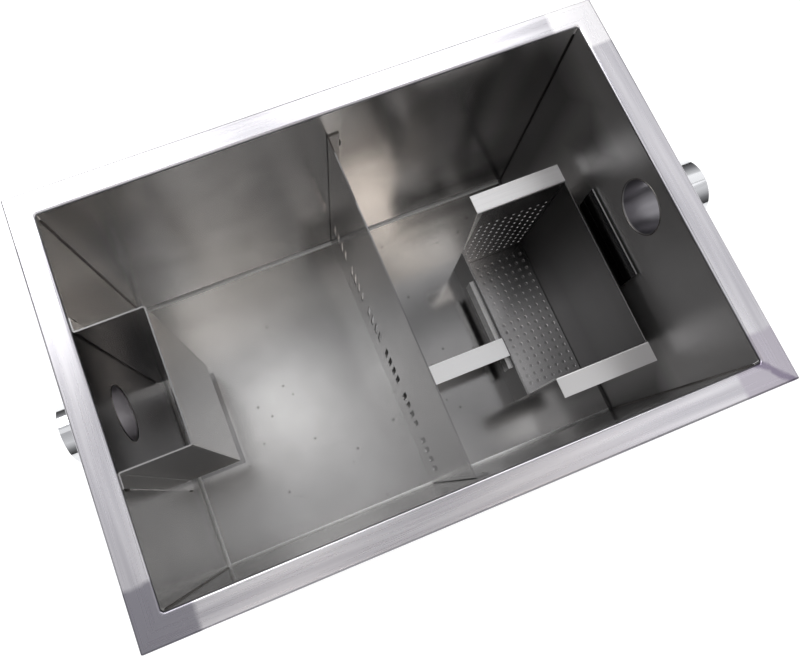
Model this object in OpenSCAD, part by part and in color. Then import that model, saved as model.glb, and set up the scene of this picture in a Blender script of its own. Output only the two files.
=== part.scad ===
// Under-sink grease trap: an open folded and welded stainless steel tank with a slotted
// baffle across its middle, a hood over the outlet and a loose perforated strainer basket.
// Millimetres. Origin at the middle of the underside, +X towards the inlet end, +Z up.

/* [Tank] */
// Inside length, end wall to end wall
tank_length = 550; // [520:5:600]
// Inside width, front wall to back wall
tank_width = 365; // [330:5:400]
// Height from the underside to the top of the rim
tank_height = 310; // [290:5:340]
// Thickness of the tank's sheet
sheet = 1.5; // [1.2:0.1:1.8]
// Inside radius of the bend between floor and walls
floor_bend = 3; // [1.5:0.5:4]

/* [Rim] */
// Width of the flat rim, from the walls' inside face to its outer edge
rim_width = 25; // [18:1:30]
// Height of the edge that is folded down all round the rim
rim_drop = 10; // [6:1:14]
// Outer radius of the rim's two bends
rim_bend = 2.5; // [2.2:0.1:3.5]
// Radius of the rim's four outer corners
rim_corner = 3; // [1:0.5:3.5]

/* [Pipes] */
// Outside diameter of the two pipe stubs
pipe_od = 60.3; // [54:0.1:63]
// Wall thickness of the pipe stubs
pipe_wall = 1.5; // [1:0.1:2.5]
// Length of each stub, from the end wall's inside face
pipe_length = 53; // [45:1:80]
// Leg of the weld fillet round each stub, outside the end wall
pipe_weld = 3; // [2:0.5:4]
// Depth of the inlet's axis below the rim
inlet_depth = 48; // [46:1:56]
// Depth of the outlet's axis below the rim
outlet_depth = 80; // [74:1:100]

/* [Baffle] */
// Distance of the baffle's outlet-side face from the middle of the tank
baffle_offset = 8; // [-30:1:20]
// Depth of the baffle's top edge below the rim
baffle_drop = 38; // [15:1:45]
// Width of the flanges folded along the front and back walls
baffle_flange = 13; // [9:1:18]
// Number of groups of slots
slot_groups = 6; // [4:1:6]
// Slots in each group
group_slots = 4; // [2:1:4]
// Width of a slot
slot_width = 6.5; // [4:0.5:8]
// Height of a slot, end to end
slot_height = 36; // [24:1:44]
// Distance between slots of a group
slot_pitch = 12; // [10:0.5:13]
// Height of the slots' middle above the tank's floor
slot_rise = 77; // [50:1:110]

/* [Outlet hood] */
// Width across the hood's sides
hood_width = 132; // [110:1:150]
// Depth of the hood, from the end wall to its front face
hood_depth = 66; // [50:1:80]
// Width of the flanges on the end wall
hood_flange = 13; // [9:1:18]
// Depth of the hood's top edge below the rim
hood_drop = 3; // [3:1:12]
// Height of the hood's lower edge above the tank's floor
hood_rise = 52; // [35:1:70]

/* [Basket] */
// Width across the basket's floor, low lip to tall wall
basket_width = 105; // [96:1:112]
// Length between the outsides of the end walls
basket_length = 206; // [190:1:230]
// Height from the basket's underside to the top of its grip tabs
basket_height = 182; // [165:1:200]
// Thickness of the basket's sheet
basket_sheet = 1.2; // [1:0.1:1.5]
// Height of the low lip
lip_height = 62; // [50:1:80]
// Width of the grip tabs folded out of the end walls
tab_width = 22; // [15:1:26]
// Distance by which the end walls' tops and tabs run past the low lip
tab_over = 6.5; // [3:0.5:10]
// Diameter of the strainer holes
hole_d = 5; // [3:0.5:6.5]
// Distance between strainer holes
hole_pitch = 11; // [10:0.5:14]
// Height of the plain band above the end walls' holes
plain_band = 46; // [35:1:60]
// Gap between the basket's tall wall and the inlet end wall
basket_gap = 13; // [10:0.5:20]
// Distance of the basket's middle from the tank's middle, towards the back
basket_shift = -21; // [-25:1:30]
// Width of the strap folded out of the lip
strap_width = 25; // [18:1:32]
// Distance of the strap's middle from the basket's middle, towards the back
strap_shift = -36; // [-50:1:40]

/* [Hook and rail] */
// Length of the hook strip on the lip
hook_length = 126; // [90:1:150]
// Depth of the hook's step below the top of the lip
hook_drop = 11; // [9:1:16]
// Height of the hook's free leg
hook_leg = 22; // [14:1:28]
// Length of the rail on the inlet end wall
rail_length = 107; // [80:1:140]
// Depth of the rail's top edge below the rim
rail_depth = 103; // [98:1:125]
// Height of the rail
rail_height = 42; // [32:1:48]
// Gap behind the hook's free leg
hook_gap = 4; // [3:0.5:6]
// Gap behind the rail's free edge
rail_gap = 2; // [1.8:0.2:4]
// Thickness of the hook and rail strips
strip = 1.5; // [1.2:0.1:2]

/* [Hidden] */
$fn = 64;
half_l = tank_length / 2;
half_w = tank_width / 2;
in_bend = 1;
floor_z = sheet;
group_pitch = tank_width * 0.16;
baffle_top = tank_height - baffle_drop;
baffle_back = baffle_offset + sheet;
pipe_bore = pipe_od - 2 * pipe_wall;
inlet_z = tank_height - inlet_depth;
outlet_z = tank_height - outlet_depth;
basket_x1 = half_l - basket_gap;
basket_x0 = basket_x1 - basket_width;
basket_y1 = basket_shift + basket_length / 2;
basket_y0 = basket_shift - basket_length / 2;
lip_z = floor_z + lip_height;
bag_bend = in_bend + basket_sheet;
hole_cols = floor((basket_width - 16) / hole_pitch) + 1;
hole_lines = floor((basket_length - 20) / hole_pitch) + 1;
hole_rows = floor((basket_height - plain_band - 12) / hole_pitch) + 1;

// Quarter of a sheet bend about the origin, in the quadrant that a and b give
module bend(inner, thick, a, b) {
    r = inner + thick;
    intersection() {
        difference() {
            circle(r);
            circle(inner);
        }
        translate([min(a, 0) * r, min(b, 0) * r]) square(r);
    }
}

// Slot with round ends, upright, centred on the origin
module slot(w, h) {
    translate([-w / 2, -(h - w) / 2]) square([w, h - w]);
    translate([0, (h - w) / 2]) circle(w / 2);
    translate([0, -(h - w) / 2]) circle(w / 2);
}

// Grid of strainer holes, centred on the origin
module hole_grid(nx, ny) {
    for (i = [0 : nx - 1], j = [0 : ny - 1])
        translate([(i - (nx - 1) / 2) * hole_pitch, (j - (ny - 1) / 2) * hole_pitch])
            circle(hole_d / 2, $fn = 32);
}

// Upright section of a tub: flat-sided, with its bottom edges rounded, open upwards
module tub_section(half, bottom, radius, top) {
    translate([-half, bottom + radius]) square([2 * half, top - bottom - radius]);
    translate([radius - half, bottom]) square([2 * (half - radius), radius]);
    for (s = [-1, 1]) translate([s * (half - radius), bottom + radius]) circle(radius);
}

// Upright section of a lid: the tub's section turned over, with its top edges rounded
module lid_section(half, bottom, radius, top) {
    translate([0, bottom + top]) mirror([0, 1]) tub_section(half, bottom, radius, top);
}

// Flare that a bend of this radius adds to a section just below height top, on both sides
module flare(half, radius, top) {
    for (s = [0, 1]) mirror([s, 0]) translate([half - 1, top - radius]) difference() {
        square([radius + 1, radius]);
        translate([radius + 1, 0]) circle(radius);
    }
}

// Solid that has the first section along the tank and the second across it
module both_ways(far) {
    intersection() {
        translate([0, far, 0]) rotate([90, 0, 0]) linear_extrude(2 * far) children(0);
        translate([-far, 0, 0]) rotate([90, 0, 90]) linear_extrude(2 * far) children(1);
    }
}

// Waste to round one outer corner of the rim
module corner_waste() {
    translate([0, 0, tank_height - rim_drop - 1]) difference() {
        translate([-rim_corner, -rim_corner, 0]) cube([rim_corner + 1, rim_corner + 1, rim_drop + 2]);
        translate([-rim_corner, -rim_corner, -1]) cylinder(r = rim_corner, h = rim_drop + 4);
    }
}

// Space inside the tank, with the mouth that the rim's inner bend flares out
module cavity_section(half) {
    tub_section(half, sheet, floor_bend, tank_height + 1);
    flare(half, rim_bend, tank_height);
}

// Outside of the walls, with the bend below the rim
module wall_section(half) {
    tub_section(half + sheet, 0, floor_bend + sheet, tank_height - sheet);
    flare(half + sheet, rim_bend - sheet, tank_height - sheet);
}

// Channel under the rim, inside its folded edge
module channel_section(half) {
    lid_section(half + rim_width - sheet, tank_height - rim_drop - 1, rim_bend - sheet,
                tank_height - sheet);
}

module tank_shell() {
    far = tank_length + tank_width;
    rim_l = half_l + rim_width;
    rim_w = half_w + rim_width;
    color("#c3c5c6") difference() {
        union() {
            difference() {
                both_ways(far) {
                    lid_section(rim_l, tank_height - rim_drop, rim_bend, tank_height);
                    lid_section(rim_w, tank_height - rim_drop, rim_bend, tank_height);
                }
                both_ways(far) {
                    channel_section(half_l);
                    channel_section(half_w);
                }
            }
            both_ways(far) {
                wall_section(half_l);
                wall_section(half_w);
            }
        }
        both_ways(far) {
            cavity_section(half_l);
            cavity_section(half_w);
        }
        translate([half_l - 5, 0, inlet_z]) rotate([0, 90, 0]) cylinder(d = pipe_bore, h = 12);
        translate([-half_l + 5, 0, outlet_z]) rotate([0, -90, 0]) cylinder(d = pipe_bore, h = 12);
        for (a = [0, 180]) rotate([0, 0, a]) {
            translate([rim_l, rim_w, 0]) corner_waste();
            translate([rim_l, -rim_w, 0]) rotate([0, 0, -90]) corner_waste();
        }
    }
}

// Pipe stub along X, set on the end wall's outside face with a weld fillet round its foot
module stub() {
    translate([sheet, 0, 0]) rotate([0, 90, 0]) rotate_extrude() {
        translate([pipe_bore / 2, 0]) square([pipe_wall, pipe_length - sheet]);
        translate([pipe_od / 2 - pipe_wall / 2, 0]) difference() {
            square([pipe_wall / 2 + pipe_weld, pipe_weld]);
            translate([pipe_wall / 2 + pipe_weld, pipe_weld]) circle(pipe_weld);
        }
    }
}

module inlet_pipe() {
    color("#d3d5d7") translate([half_l, 0, inlet_z]) stub();
}

module outlet_pipe() {
    color("#d3d5d7") translate([-half_l, 0, outlet_z]) rotate([0, 0, 180]) stub();
}

// Plan of the baffle: a plate with a flange folded along the front and back walls
module baffle_plan() {
    r = in_bend + sheet;
    translate([0, -half_w + r]) square([sheet, tank_width - 2 * r]);
    for (s = [-1, 1]) {
        translate([r, s * (half_w - r)]) bend(in_bend, sheet, -1, s);
        translate([r, s > 0 ? half_w - sheet : -half_w]) square([baffle_flange - r, sheet]);
    }
}

module slotted_baffle() {
    cut = floor_bend + 1.5;
    color("#a9abac") difference() {
        translate([baffle_offset, 0, floor_z]) linear_extrude(baffle_top - floor_z) baffle_plan();
        translate([baffle_offset - 1, 0, floor_z + slot_rise]) rotate([90, 0, 90])
            linear_extrude(sheet + 2)
                for (g = [0 : slot_groups - 1], i = [0 : group_slots - 1])
                    translate([(g - (slot_groups - 1) / 2) * group_pitch
                               + (i - (group_slots - 1) / 2) * slot_pitch, 0])
                        slot(slot_width, slot_height);
        for (s = [0, 1]) mirror([0, s, 0])
            translate([baffle_offset - 1, 0, 0]) rotate([90, 0, 90])
                linear_extrude(baffle_flange + 2)
                    polygon([[half_w + 1, floor_z - 1], [half_w + 1, floor_z + cut + 1],
                             [half_w - cut - 1, floor_z - 1]]);
    }
}

// Plan of the hood: a hat section with its flanges on the end wall
module hood_plan() {
    hw = hood_width / 2;
    r = in_bend + sheet;
    for (s = [-1, 1]) {
        translate([0, s > 0 ? hw + in_bend : -hw - hood_flange])
            square([sheet, hood_flange - in_bend]);
        translate([r, s * (hw + in_bend)]) bend(in_bend, sheet, -1, -s);
        translate([r, s > 0 ? hw - sheet : -hw]) square([hood_depth - 2 * r, sheet]);
        translate([hood_depth - r, s * (hw - r)]) bend(in_bend, sheet, 1, s);
    }
    translate([hood_depth - sheet, -hw + r]) square([sheet, hood_width - 2 * r]);
}

module outlet_hood() {
    color("#a9abac") translate([-half_l, 0, floor_z + hood_rise])
        linear_extrude(tank_height - hood_drop - floor_z - hood_rise) hood_plan();
}

// Joggled strip on the inlet end wall, open at its top for the basket's hook
module inlet_rail() {
    top = tank_height - rail_depth;
    color("#b7b9ba") translate([half_l, rail_length / 2, top]) rotate([90, 0, 0])
        linear_extrude(rail_length)
            polygon([[0, -rail_height], [-strip, -rail_height], [-strip, -29],
                     [-rail_gap - strip, -24], [-rail_gap - strip, 0], [-rail_gap, 0],
                     [-rail_gap, -23.4], [0, -28.4]]);
}

// End wall of the basket, upright in X and Z, its outside face towards -Y
module basket_end() {
    h = basket_height - bag_bend;
    mid = -basket_width / 2;
    translate([0, basket_sheet, 0]) rotate([90, 0, 0]) linear_extrude(basket_sheet) difference() {
        polygon([[0, 0], [0, h], [-basket_width - tab_over, h], [-basket_width, lip_height],
                 [-basket_width, 0]]);
        translate([mid, basket_height - plain_band - (hole_rows - 1) / 2 * hole_pitch])
            hole_grid(hole_cols, hole_rows);
    }
    translate([-basket_width - tab_over, 0, h]) rotate([90, 0, 90])
        linear_extrude(basket_width + tab_over) {
            translate([-in_bend, 0]) bend(in_bend, basket_sheet, 1, 1);
            translate([-tab_width, in_bend]) square([tab_width - in_bend, basket_sheet]);
        }
}

module strainer_basket() {
    reach = basket_x0 - baffle_back - 0.5;
    color("#9fa1a2") {
        translate([basket_x0, basket_y0, floor_z]) linear_extrude(basket_sheet) difference() {
            square([basket_width, basket_length]);
            translate([basket_width / 2, basket_length / 2]) hole_grid(hole_cols, hole_lines);
        }
        translate([basket_x1, basket_y0, floor_z]) basket_end();
        translate([basket_x1, basket_y1, floor_z]) mirror([0, 1, 0]) basket_end();
        translate([basket_x1 - basket_sheet, basket_y0, floor_z])
            cube([basket_sheet, basket_length, basket_height - bag_bend]);
        translate([basket_x0, basket_y0, floor_z])
            cube([basket_sheet, basket_length, lip_height - bag_bend]);
        for (s = [-1, 1])
            translate([basket_x0, s < 0 ? basket_y0 : basket_shift + strap_shift + strap_width / 2,
                       lip_z - bag_bend - 0.01])
                cube([basket_sheet, s < 0 ? basket_length / 2 + strap_shift - strap_width / 2
                                          : basket_length / 2 - strap_shift - strap_width / 2,
                      bag_bend + 0.01]);
        translate([basket_x0, basket_shift + strap_shift + strap_width / 2, lip_z - bag_bend])
            rotate([90, 0, 0]) linear_extrude(strap_width) {
                translate([-in_bend, 0]) bend(in_bend, basket_sheet, 1, 1);
                translate([-reach, in_bend]) square([reach - in_bend, basket_sheet]);
            }
    }
}

// Stepped strip on the outside of the lip, open at its foot to drop over a rail
module basket_hook() {
    color("#b7b9ba") translate([basket_x0, basket_shift + hook_length / 2, lip_z - hook_drop])
        rotate([90, 0, 0]) linear_extrude(hook_length)
            polygon([[0, 6], [-strip, 6], [-strip, 0], [-hook_gap - strip, 0],
                     [-hook_gap - strip, -hook_leg], [-hook_gap, -hook_leg],
                     [-hook_gap, -strip], [0, -strip]]);
}

tank_shell();
inlet_pipe();
outlet_pipe();
slotted_baffle();
outlet_hood();
inlet_rail();
strainer_basket();
basket_hook();
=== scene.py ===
# %% [markdown]
# # An open grease trap in stainless steel
# A grease trap stands under a kitchen sink. Waste water comes in at one end, drops through a strainer
# basket, passes the slots of a baffle and leaves under a hood at the other end, while the grease stays
# afloat. The CAD model gives every sheet, fold, slot and hole at its real size. This lesson adds what the
# eye gets from the real thing: the finish of each sheet, the weld seams, the ground corners of the rim, and
# soft light to see them by.

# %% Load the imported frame
import math

import bmesh
import bpy
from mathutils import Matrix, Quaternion, Vector


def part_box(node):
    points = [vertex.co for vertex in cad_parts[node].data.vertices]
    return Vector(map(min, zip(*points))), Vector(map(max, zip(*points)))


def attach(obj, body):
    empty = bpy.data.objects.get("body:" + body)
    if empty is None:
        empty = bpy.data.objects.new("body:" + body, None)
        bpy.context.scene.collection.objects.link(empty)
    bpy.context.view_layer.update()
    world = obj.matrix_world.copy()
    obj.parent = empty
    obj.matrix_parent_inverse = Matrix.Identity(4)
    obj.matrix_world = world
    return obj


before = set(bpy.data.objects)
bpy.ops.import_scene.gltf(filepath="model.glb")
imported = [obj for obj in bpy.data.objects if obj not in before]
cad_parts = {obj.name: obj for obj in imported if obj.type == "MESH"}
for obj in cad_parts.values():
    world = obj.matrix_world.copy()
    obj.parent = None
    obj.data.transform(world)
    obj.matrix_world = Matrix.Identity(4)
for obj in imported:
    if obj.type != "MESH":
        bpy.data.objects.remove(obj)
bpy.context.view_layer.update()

MM = 0.001
print("nodes:", sorted(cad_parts))

# %% [markdown]
# ## Sizes that the finishes need
# Nothing is measured twice: the rim, the walls and the sheet are read from the boxes of the CAD nodes. The
# baffle runs from wall to wall, so its box gives the inside width, and the hood stands on the outlet end
# wall.

# %% Read the tank's sizes from its pieces
tank_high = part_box("tank_shell")[1]
baffle_low, baffle_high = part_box("slotted_baffle")
hood_low, hood_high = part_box("outlet_hood")
rail_low, rail_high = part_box("inlet_rail")
basket_low, basket_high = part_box("strainer_basket")
hook_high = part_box("basket_hook")[1]
half_inside = Vector((-hood_low.x, baffle_high.y))
rim_top = tank_high.z
floor_top = baffle_low.z
sheet = floor_top
print(f"inside {2 * half_inside.x:.3f} x {2 * half_inside.y:.3f} m, rim at {rim_top:.3f} m")

# %% [markdown]
# ## The camera
# The picture looks steeply down into the tank from its front left. The place and the aim were solved from
# the edges of the rim and the corners of the floor, so the camera needs no trial and error. The picture was
# cropped off-centre, and the lens shift repeats that crop.

# %% Set the camera for an 800 x 660 picture
PICTURE_WIDTH = 800
PICTURE_HEIGHT = 660
FOCAL_PIXELS = 619.69
AXIS_PIXEL = Vector((351.68, 361.59))
CAMERA_PLACE = Vector((-108.61, -149.57, 834.32)) * MM
CAMERA_AIM = Vector((-58.60, -49.23, 310.0)) * MM
CAMERA_ROLL = math.radians(4.727)

camera = bpy.data.objects.new("camera", bpy.data.cameras.new("camera"))
bpy.context.scene.collection.objects.link(camera)
camera.location = CAMERA_PLACE
camera.rotation_mode = "QUATERNION"
level = (CAMERA_AIM - CAMERA_PLACE).to_track_quat("-Z", "Y")
camera.rotation_quaternion = level @ Quaternion((0, 0, 1), CAMERA_ROLL)
camera.data.lens = camera.data.sensor_width * FOCAL_PIXELS / PICTURE_WIDTH
camera.data.shift_x = 0.5 - AXIS_PIXEL.x / PICTURE_WIDTH
camera.data.shift_y = (AXIS_PIXEL.y - PICTURE_HEIGHT / 2) / PICTURE_WIDTH
camera.data.clip_start = 0.01
bpy.context.scene.camera = camera
bpy.context.scene.view_settings.view_transform = "Standard"
print(f"lens {camera.data.lens:.2f} mm, shift {camera.data.shift_x:.4f}, {camera.data.shift_y:.4f}")

# %% [markdown]
# ## Helpers for materials
# Colours are written as the hex values that a colour picker shows, and shaders work in linear light, so one
# function turns the first into the second. Another adds a node, sets its properties and fills or links its
# inputs. Patterns have their sizes in millimetres, and a texture wants repeats per metre.

# %% Colour and node helpers
def linear(hex_colour):
    """sRGB hex such as 'c8c8c8' to a linear RGBA colour."""
    channels = [int(hex_colour[i:i + 2], 16) / 255 for i in (0, 2, 4)]
    return [c / 12.92 if c <= 0.04045 else ((c + 0.055) / 1.055) ** 2.4 for c in channels] + [1.0]


def add(tree, kind, inputs=None, **settings):
    """Add a node; inputs are sockets to link or values to set, by name or number."""
    node = tree.nodes.new(kind)
    for name, value in settings.items():
        setattr(node, name, value)
    for name, value in (inputs or {}).items():
        if isinstance(value, bpy.types.NodeSocket):
            tree.links.new(value, node.inputs[name])
        else:
            node.inputs[name].default_value = value
    return node


def new_material(name):
    """An empty node material and its tree."""
    material = bpy.data.materials.new(name)
    material.use_nodes = True
    material.node_tree.nodes.clear()
    return material, material.node_tree


def per_metre(*sizes):
    """How often patterns of these sizes repeat in a metre."""
    return tuple(1 / size for size in sizes)


print("mid grey c8c8c8 is", [round(c, 3) for c in linear("c8c8c8")[:3]], "in linear light")

# %% [markdown]
# A finish that changes from place to place is told apart by boxes. A zone is 1 inside its box and 0 outside
# it, with edges that are sharp or fade inwards, and a shade lays a colour over each zone of a list. A box
# that has no limit on some side reaches far past the part there.

# %% Zones of a finish
SHARP_EDGE = 0.1 * MM
SHARP = (SHARP_EDGE, SHARP_EDGE, SHARP_EDGE)
FAR = 1.0
EVERYWHERE = ((-FAR, -FAR, -FAR), (FAR, FAR, FAR))


def zone(tree, place, low, high, soft=SHARP):
    """1 inside the box from low to high; soft is how far its edges fade inwards along X, Y and Z."""
    middle = [(a + b) / 2 for a, b in zip(low, high)]
    half = [(b - a) / 2 for a, b in zip(low, high)]
    offset = add(tree, "ShaderNodeVectorMath", {0: place, 1: middle}, operation="SUBTRACT").outputs[0]
    offset = add(tree, "ShaderNodeVectorMath", {0: offset}, operation="ABSOLUTE").outputs[0]
    past = add(tree, "ShaderNodeVectorMath", {0: offset, 1: half}, operation="SUBTRACT").outputs[0]
    past = add(tree, "ShaderNodeVectorMath", {0: past, 1: soft}, operation="DIVIDE").outputs[0]
    x, y, z = add(tree, "ShaderNodeSeparateXYZ", {0: past}).outputs
    worst = add(tree, "ShaderNodeMath", {0: x, 1: y}, operation="MAXIMUM").outputs[0]
    worst = add(tree, "ShaderNodeMath", {0: worst, 1: z}, operation="MAXIMUM").outputs[0]
    return add(tree, "ShaderNodeMapRange", {"Value": worst, "From Min": -1.0, "From Max": 0.0,
                                            "To Min": 1.0, "To Max": 0.0}).outputs[0]


def shade(tree, place, colour, shades):
    """Mix a colour over each zone in a list of (low corner, high corner, hex colour, soft edge)."""
    for low, high, hex_colour, soft in shades:
        inside = zone(tree, place, low, high, soft)
        colour = add(tree, "ShaderNodeMix", {0: inside, 6: colour, 7: linear(hex_colour)},
                     data_type="RGBA").outputs[2]
    return colour


print(f"zones reach {FAR} m where they have no limit")

# %% [markdown]
# ## The floor and the light
# A pale floor runs out to the horizon. It adds a little light of its own for the rays that look at it
# straight or in a mirror, so it reads as white paper and still keeps the tank's shadow. It could be lit white
# by lamps instead, but those would wash out the steel.

# %% Make the floor
FLOOR_HALF = 6.0
FLOOR_DROP = 0.2 * MM
PAPER_GLOW = 0.75

shape = bmesh.new()
bmesh.ops.create_grid(shape, x_segments=1, y_segments=1, size=FLOOR_HALF)
bmesh.ops.translate(shape, vec=(0, 0, -FLOOR_DROP), verts=shape.verts)
floor = bpy.data.objects.new("floor", bpy.data.meshes.new("floor"))
shape.to_mesh(floor.data)
shape.free()
bpy.context.scene.collection.objects.link(floor)

material, tree = new_material("white_paper")
path = add(tree, "ShaderNodeLightPath").outputs
seen = add(tree, "ShaderNodeMath", {0: path["Is Camera Ray"], 1: path["Is Glossy Ray"]},
           operation="MAXIMUM").outputs[0]
seen = add(tree, "ShaderNodeMath", {0: seen, 1: path["Is Transmission Ray"]}, operation="MAXIMUM").outputs[0]
strength = add(tree, "ShaderNodeMath", {0: seen, 1: PAPER_GLOW}, operation="MULTIPLY").outputs[0]
glow = add(tree, "ShaderNodeEmission", {"Color": linear("ffffff"), "Strength": strength})
paper = add(tree, "ShaderNodeBsdfDiffuse", {"Color": linear("c4c4c4")})
both = add(tree, "ShaderNodeAddShader", {0: glow.outputs[0], 1: paper.outputs[0]})
add(tree, "ShaderNodeOutputMaterial", {"Surface": both.outputs[0]})
floor.data.materials.append(material)
print("floor", 2 * FLOOR_HALF, "m wide")

# %% [markdown]
# Steel shows nothing but its surroundings, so the sky does most of the work. It is grey and darker towards
# the horizon, which gives the sheet's edges their lines. Patches of it are dimmed, as posts and a beam of a
# workshop would be. The workshop is a guess. A room could be modelled instead, but a few patches are quicker
# to move.

# %% Make the sky
SKY_STOPS = [(0.0, "353535"), (0.35, "8a8a8c"), (0.7, "f2f2f4"), (0.88, "dadadc"), (1.0, "c0c0c2")]
SKY_STRENGTH = 0.88
POST_FADE = 0.06
BEAM_FADE = 0.03


def sky_patch(left, near, right, far, hex_colour, fade):
    """A shade over the sky between two directions along X and two along Y."""
    return (left, near, -2 * FAR), (right, far, 2 * FAR), hex_colour, (fade, fade, fade)


window_post = sky_patch(-0.04, 0.16, 0.15, 0.60, "181818", POST_FADE)
front_post = sky_patch(-0.05, -0.62, 0.18, -0.24, "484848", POST_FADE)
front_right_post = sky_patch(0.15, -0.66, 0.42, -0.20, "68686a", POST_FADE)
grey_ceiling = sky_patch(0.15, -0.10, 0.37, 0.12, "9a9a9c", POST_FADE)
roof_beam = sky_patch(0.14, 0.165, 0.42, 0.255, "363638", BEAM_FADE)
SKY_PATCHES = [window_post, front_post, front_right_post, grey_ceiling, roof_beam]

world = bpy.data.worlds.new("workshop_sky")
world.use_nodes = True
bpy.context.scene.world = world
tree = world.node_tree
tree.nodes.clear()
direction = add(tree, "ShaderNodeTexCoord").outputs["Generated"]
height = add(tree, "ShaderNodeSeparateXYZ", {0: direction}).outputs["Z"]
sky_ramp = add(tree, "ShaderNodeValToRGB", {"Fac": height})
stops = sky_ramp.color_ramp.elements
while len(stops) < len(SKY_STOPS):
    stops.new(0.5)
for element, (stop, hex_colour) in zip(stops, SKY_STOPS):
    element.position = stop
    element.color = linear(hex_colour)
dimmed = shade(tree, direction, sky_ramp.outputs[0], SKY_PATCHES)
sky = add(tree, "ShaderNodeBackground", {"Color": dimmed, "Strength": SKY_STRENGTH})
add(tree, "ShaderNodeOutputWorld", {"Surface": sky.outputs[0]})
print("sky with", len(SKY_PATCHES), "dimmed patches")

# %% [markdown]
# Two windows behind the tank make the bright patches in its floor and its back rim. The other lamps are
# weak: each is there for one patch of light in a wall, the floor or the rim. All face the tank's mouth.

# %% Hang the lamps
TANK_MOUTH = Vector((0, 0, rim_top))
WHITE = "ffffff"
WARM = "fff8f0"
WARMER = "fff2e6"
LAMPS = [
    # name, place in metres, size in metres, watts, tint
    ("left_window", (-0.90, 1.75, 2.1), (1.56, 1.5), 25, WHITE),
    ("right_window", (0.87, 1.75, 2.1), (1.00, 1.5), 13.5, WHITE),
    ("front_left_box", (-0.34, -0.74, 2.4), (0.62, 0.26), 1.4, WARM),
    ("front_right_box", (0.72, -0.57, 2.4), (0.74, 0.26), 0.45, WARM),
    ("overhead_box", (0.15, -0.12, 2.4), (0.50, 0.70), 0.26, WHITE),
    ("warm_lamp", (0.64, -0.97, 2.4), (0.32, 0.30), 1.4, WARMER),
    ("side_soft_box", (1.35, -0.42, 2.4), (0.8, 0.9), 1.45, WHITE),
    ("skylight", (1.90, 0.70, 2.4), (1.4, 0.8), 1.4, WHITE),
    ("left_lamp", (-0.95, 0.20, 2.4), (0.6, 0.6), 0.5, WHITE),
    ("low_window", (2.6, -0.30, 1.0), (2.4, 1.0), 6.0, WHITE),
    ("ceiling_lamp", (-0.21, 0.38, 2.4), (0.42, 0.42), 1.05, WHITE),
]

for name, place, size, watts, tint in LAMPS:
    light = bpy.data.lights.new(name, "AREA")
    light.shape = "RECTANGLE"
    light.size, light.size_y = size
    light.energy = watts
    light.color = linear(tint)[:3]
    holder = bpy.data.objects.new(name, light)
    holder.location = place
    holder.rotation_mode = "QUATERNION"
    holder.rotation_quaternion = (TANK_MOUTH - Vector(place)).to_track_quat("-Z", "Y")
    holder.visible_camera = False
    bpy.context.scene.collection.objects.link(holder)

# %% [markdown]
# ## Satin sheet with a brushed rim
# The tank is cold-rolled stainless sheet: a satin grey that mirrors what is close and blurs what is far. Its
# rim is brushed along each side, and its corners are ground flat, with painted light in their tones: the back
# corners are painted lighter and the front left darker. One material serves the whole shell and tells its
# parts apart by their place, because they are all one piece of steel. Separate materials would need the mesh
# to be cut up.

# %% Places on the tank
RIM_ZONE = sheet + 0.2 * MM
RIM_BEND = 2.2 * MM
RIM_EDGE = 14 * MM
FLOOR_BEND = 3.5 * MM
BEND_HEIGHT = 1.4 * FLOOR_BEND
HOOD_FLANGE = 13 * MM
HOOD_LIP = 0.6 * MM
TAB_LENGTH = 22 * MM
INNER_SKIN = 0.5 * MM
SKIN = 0.4 * MM
hood_half = hood_high.y - HOOD_FLANGE - sheet / 2
hood_front = hood_high.x - sheet / 2
lip_x = hook_high.x
basket_front = basket_low.y + TAB_LENGTH
basket_back = basket_high.y - TAB_LENGTH
floor_skin = floor_top - SKIN
floor_film = floor_top + 1 * MM
wall_foot = floor_top + FLOOR_BEND
wall_head = rim_top - 3 * MM


def on_back(left, right, low, high):
    """A thin box round part of the back wall's inside face."""
    return (left, half_inside.y - INNER_SKIN, low), (right, half_inside.y + SKIN, high)


def on_front(left, right, low, high):
    """A thin box round part of the front wall's inside face."""
    return (left, -half_inside.y - SKIN, low), (right, INNER_SKIN - half_inside.y, high)


def on_inlet_end(front, back, low, high):
    """A thin box round part of the inlet end wall's inside face."""
    return (half_inside.x - INNER_SKIN, front, low), (half_inside.x + SKIN, back, high)


def on_outlet_end(front, back, low, high):
    """A thin box round part of the outlet end wall's inside face."""
    return (-half_inside.x - SKIN, front, low), (INNER_SKIN - half_inside.x, back, high)


print(f"hood {2 * hood_half:.3f} m wide, basket from {basket_front:.3f} to {basket_back:.3f} m")

# %% [markdown]
# The inside is given painted shade and painted light: patches darker or lighter than the sheet that stand in
# for what the steel mirrors and for the shade in its corners, under its parts and beside the baffle. These
# shades are guesses, set by comparing the render with the picture, and they lie on the inside faces only. A
# whole room to mirror would be the other way, with more to guess.

# %% Painted shade and light on the tank's inside
WALL_FADE = 50 * MM
SIDE_FADE = (WALL_FADE, SHARP_EDGE, WALL_FADE)
END_FADE = (SHARP_EDGE, WALL_FADE, WALL_FADE)
NARROW_FADE = (20 * MM, SHARP_EDGE, WALL_FADE)
SPOT_FADE = (SHARP_EDGE, 30 * MM, 30 * MM)
STRIP = 32 * MM
STRIP_EDGE = 9 * MM


def behind_baffle(front, back, hex_colour):
    """A strip of floor close behind the baffle, which its slots show, with a painted shade or a painted
    reflection over it.
    """
    low = (baffle_low.x, front, floor_skin)
    high = (baffle_low.x + STRIP, back, floor_film)
    return low, high, hex_colour, (STRIP_EDGE, STRIP_EDGE, SHARP_EDGE)


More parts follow.
